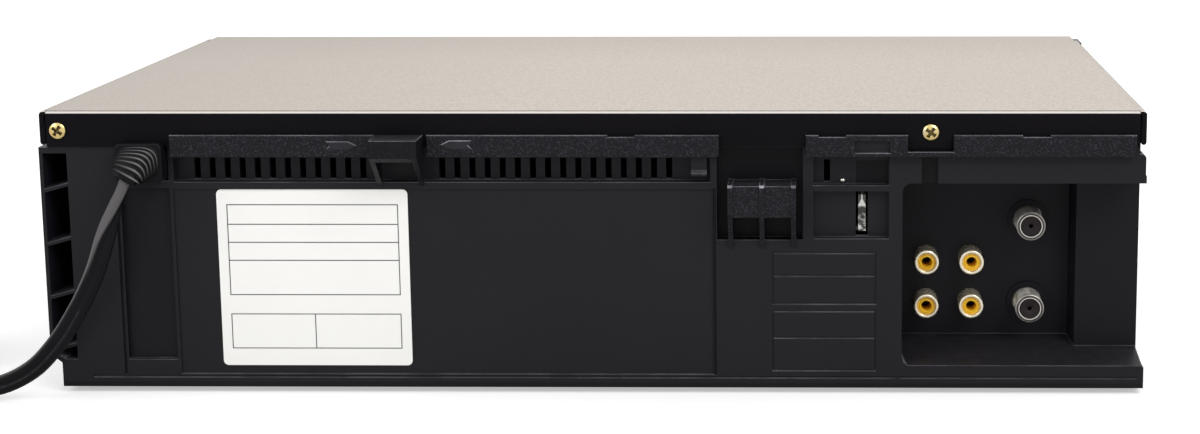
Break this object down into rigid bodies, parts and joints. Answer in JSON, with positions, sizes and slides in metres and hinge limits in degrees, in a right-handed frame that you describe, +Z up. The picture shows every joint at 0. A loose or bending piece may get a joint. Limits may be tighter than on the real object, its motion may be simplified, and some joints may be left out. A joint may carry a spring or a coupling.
{
  "type": "video_cassette_recorder",
  "caption": "Front-loading tape deck for living-room television, flat cabinet with rear jack recess, cord hook and wound mains lead",
  "frame": {"origin": "centre of the cabinet's footprint on the surface it stands on", "axes": "+Z up, +X to the right seen from the front, +Y from the front to the rear"},
  "size_m": [0.5196, 0.2403, 0.094],
  "materials": {
    "black_plastic": "fine moulded texture",
    "cover_paint": "fine-textured paint",
    "plated_steel": "zinc plated, pressed",
    "dark_steel": "black passivated",
    "yellow_zinc": "yellow passivated",
    "button_plastic": "satin",
    "smoked_window": "smoked, polished",
    "display_glass": "polished",
    "label_film": "printed film",
    "yellow_plastic": "moulded",
    "gold_plate": "plated",
    "nickel": "plated",
    "circuit_board": "lacquered",
    "copper_winding": "wound wire, taped",
    "sleeve_plastic": "shrunk sleeve",
    "aluminium": "turned",
    "polished_steel": "ground",
    "black_rubber": "matt",
    "white_plastic": "moulded",
    "cord_vinyl": "satin"
  },
  "bodies": {
    "body": {"cabinet_frame": "black_plastic", "bottom_cover": "dark_steel", "feet": "black_rubber", "top_cover": "cover_paint", "screws": "yellow_zinc", "front_panel": "black_plastic", "display_window": "smoked_window", "door_spring": "polished_steel", "front_board": "circuit_board", "display_tube": "display_glass", "rating_label": "label_film", "phono_shells": "gold_plate", "phono_inserts": "yellow_plastic", "jack_board": "circuit_board", "aerial_connectors": "nickel", "tuner_box": "plated_steel", "ground_clip": "plated_steel", "main_board": "circuit_board", "power_board": "circuit_board", "transformer": "copper_winding", "capacitors": "sleeve_plastic", "heatsink": "aluminium", "deck_plate": "plated_steel", "carriage_frame": "plated_steel", "lower_drum": "aluminium", "capstan_bearing": "gold_plate", "drive_belt": "black_rubber", "loading_motor": "plated_steel", "audio_head": "polished_steel", "erase_head": "polished_steel", "strain_relief": "black_plastic", "power_cord": "cord_vinyl", "cord_coil": "cord_vinyl", "power_plug": "cord_vinyl"},
    "cassette_door": {"cassette_door": "black_plastic"},
    "power_button": {"power_button": "button_plastic"},
    "stop_eject_button": {"stop_eject_button": "button_plastic"},
    "rewind_button": {"rewind_button": "button_plastic"},
    "play_button": {"play_button": "button_plastic"},
    "fast_forward_button": {"fast_forward_button": "button_plastic"},
    "record_button": {"record_button": "button_plastic"},
    "channel_up_button": {"channel_up_button": "button_plastic"},
    "channel_down_button": {"channel_down_button": "button_plastic"},
    "carriage_slider": {"carriage_slider": "plated_steel"},
    "cassette_holder": {"cassette_holder": "plated_steel"},
    "head_drum": {"head_drum": "aluminium", "drum_rotor": "polished_steel"},
    "capstan": {"capstan": "polished_steel"},
    "clutch_pulley": {"clutch_pulley": "white_plastic"},
    "idler_arm": {"idler_arm": "plated_steel"},
    "idler_wheel": {"idler_wheel": "black_rubber"},
    "supply_reel": {"supply_reel": "white_plastic"},
    "take_up_reel": {"take_up_reel": "white_plastic"},
    "pinch_arm": {"pinch_arm": "plated_steel"},
    "pinch_roller": {"pinch_roller": "black_rubber"},
    "tension_arm": {"tension_arm": "plated_steel"},
    "cam_gear": {"cam_gear": "white_plastic"},
    "worm": {"worm": "white_plastic"},
    "supply_guide": {"supply_guide": "gold_plate"},
    "take_up_guide": {"take_up_guide": "gold_plate"}
  },
  "joints": [
    {"name": "cassette_door_hinge", "type": "hinge", "parent": "body", "child": "cassette_door", "pos_m": [-0.03, -0.1134, 0.0882], "axis": [1, 0, 0], "range_deg": [0, 88], "stiffness_Nm_per_rad": 0.01},
    {"name": "power_press", "type": "slide", "parent": "body", "child": "power_button", "axis": [0, 1, 0], "range_m": [0, 0.0008], "stiffness_N_per_m": 300},
    {"name": "stop_eject_press", "type": "slide", "parent": "body", "child": "stop_eject_button", "axis": [0, 1, 0], "range_m": [0, 0.0008], "stiffness_N_per_m": 300},
    {"name": "rewind_press", "type": "slide", "parent": "body", "child": "rewind_button", "axis": [0, 1, 0], "range_m": [0, 0.0008], "stiffness_N_per_m": 300},
    {"name": "play_press", "type": "slide", "parent": "body", "child": "play_button", "axis": [0, 1, 0], "range_m": [0, 0.0008], "stiffness_N_per_m": 300},
    {"name": "fast_forward_press", "type": "slide", "parent": "body", "child": "fast_forward_button", "axis": [0, 1, 0], "range_m": [0, 0.0008], "stiffness_N_per_m": 300},
    {"name": "record_press", "type": "slide", "parent": "body", "child": "record_button", "axis": [0, 1, 0], "range_m": [0, 0.0008], "stiffness_N_per_m": 300},
    {"name": "channel_up_press", "type": "slide", "parent": "body", "child": "channel_up_button", "axis": [0, 1, 0], "range_m": [0, 0.0008], "stiffness_N_per_m": 300},
    {"name": "channel_down_press", "type": "slide", "parent": "body", "child": "channel_down_button", "axis": [0, 1, 0], "range_m": [0, 0.0008], "stiffness_N_per_m": 300},
    {"name": "carriage_travel", "type": "slide", "parent": "body", "child": "carriage_slider", "axis": [0, 1, 0], "range_m": [0, 0.058]},
    {"name": "carriage_drop", "type": "slide", "parent": "carriage_slider", "child": "cassette_holder", "axis": [0, 0, -1], "range_m": [0, 0.024]},
    {"name": "drum_spin", "type": "hinge", "parent": "body", "child": "head_drum", "pos_m": [-0.03, 0.06, 0.0232], "axis": [0, 0.1045, 0.9945], "continuous": true},
    {"name": "capstan_spin", "type": "hinge", "parent": "body", "child": "capstan", "pos_m": [0.036, 0.032, 0.002], "axis": [0, 0, 1], "continuous": true},
    {"name": "clutch_spin", "type": "hinge", "parent": "body", "child": "clutch_pulley", "pos_m": [-0.03, -0.02, 0.002], "axis": [0, 0, 1], "continuous": true},
    {"name": "idler_swing", "type": "hinge", "parent": "body", "child": "idler_arm", "pos_m": [-0.03, -0.02, 0.002], "axis": [0, 0, 1], "range_deg": [-48, 48]},
    {"name": "idler_spin", "type": "hinge", "parent": "idler_arm", "child": "idler_wheel", "pos_m": [-0.03, -0.04, 0.002], "axis": [0, 0, 1], "continuous": true},
    {"name": "supply_reel_spin", "type": "hinge", "parent": "body", "child": "supply_reel", "pos_m": [-0.076, -0.034, 0.002], "axis": [0, 0, 1], "continuous": true},
    {"name": "take_up_reel_spin", "type": "hinge", "parent": "body", "child": "take_up_reel", "pos_m": [0.016, -0.034, 0.002], "axis": [0, 0, 1], "continuous": true},
    {"name": "pinch_swing", "type": "hinge", "parent": "body", "child": "pinch_arm", "pos_m": [0.052, 0.008, 0.002], "axis": [0, 0, -1], "range_deg": [0, 34.4]},
    {"name": "pinch_roller_spin", "type": "hinge", "parent": "pinch_arm", "child": "pinch_roller", "pos_m": [0.02998, 0.01149, 0.002], "axis": [0, 0, 1], "continuous": true},
    {"name": "tension_swing", "type": "hinge", "parent": "body", "child": "tension_arm", "pos_m": [-0.1, -0.002, 0.002], "axis": [0, 0, 1], "range_deg": [-12, 15]},
    {"name": "cam_turn", "type": "hinge", "parent": "body", "child": "cam_gear", "pos_m": [0.042, 0.068, 0.002], "axis": [0, 0, 1], "range_deg": [0, 150]},
    {"name": "worm_spin", "type": "hinge", "parent": "body", "child": "worm", "pos_m": [0.06255, 0.036, 0.0316], "axis": [0, 1, 0], "range_deg": [-10, 3610]},
    {"name": "supply_guide_slide", "type": "slide", "parent": "body", "child": "supply_guide", "axis": [-0.1347, 0.9909, 0], "range_m": [0, 0.052]},
    {"name": "take_up_guide_slide", "type": "slide", "parent": "body", "child": "take_up_guide", "axis": [0.1347, 0.9909, 0], "range_m": [0, 0.052]}
  ],
  "couplings": [
    {"joint": "clutch_spin", "follows": "capstan_spin", "ratio": 0.5},
    {"joint": "idler_spin", "follows": "capstan_spin", "ratio": -0.52083},
    {"joint": "worm_spin", "follows": "cam_turn", "ratio": 24},
    {"joint": "supply_guide_slide", "follows": "cam_turn", "m_per_rad": 0.0198},
    {"joint": "take_up_guide_slide", "follows": "cam_turn", "m_per_rad": 0.0198}
  ]
}
